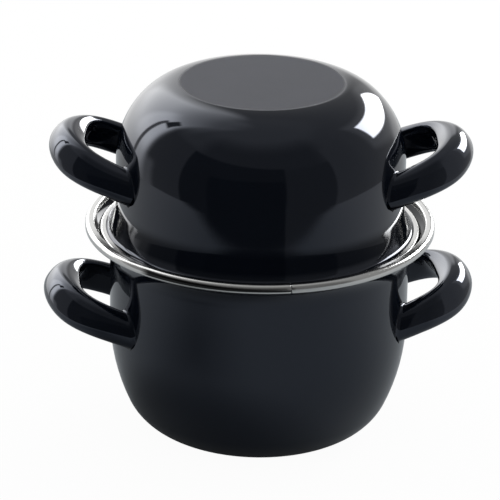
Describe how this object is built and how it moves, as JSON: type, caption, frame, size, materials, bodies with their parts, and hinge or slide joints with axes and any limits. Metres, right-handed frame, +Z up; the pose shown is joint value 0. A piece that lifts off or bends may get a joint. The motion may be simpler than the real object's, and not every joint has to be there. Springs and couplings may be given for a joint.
{
  "type": "mussel pot",
  "caption": "Black enamelled round pot with loop handles, lidded by a shallower bowl turned upside down that has loop handles of its own and can hold the empty shells.",
  "frame": {"origin": "middle of the pot's flat base, which stands on the table", "axes": "+X runs through the right-hand pot handle, +Y away from the viewer, +Z up along the axis of pot and lid"},
  "size_m": [0.2284, 0.1842, 0.1913],
  "materials": {
    "black_enamel": "gloss vitreous enamel on deep drawn steel sheet",
    "bright_steel": "bright rolled stainless steel"
  },
  "bodies": {
    "root": {"pot_body": "black_enamel", "pot_rim_band": "bright_steel", "pot_handle_left": "black_enamel", "pot_handle_right": "black_enamel", "lid_bowl": "black_enamel", "lid_rim_band": "bright_steel", "lid_handle_left": "black_enamel", "lid_handle_right": "black_enamel"}
  },
  "joints": []
}
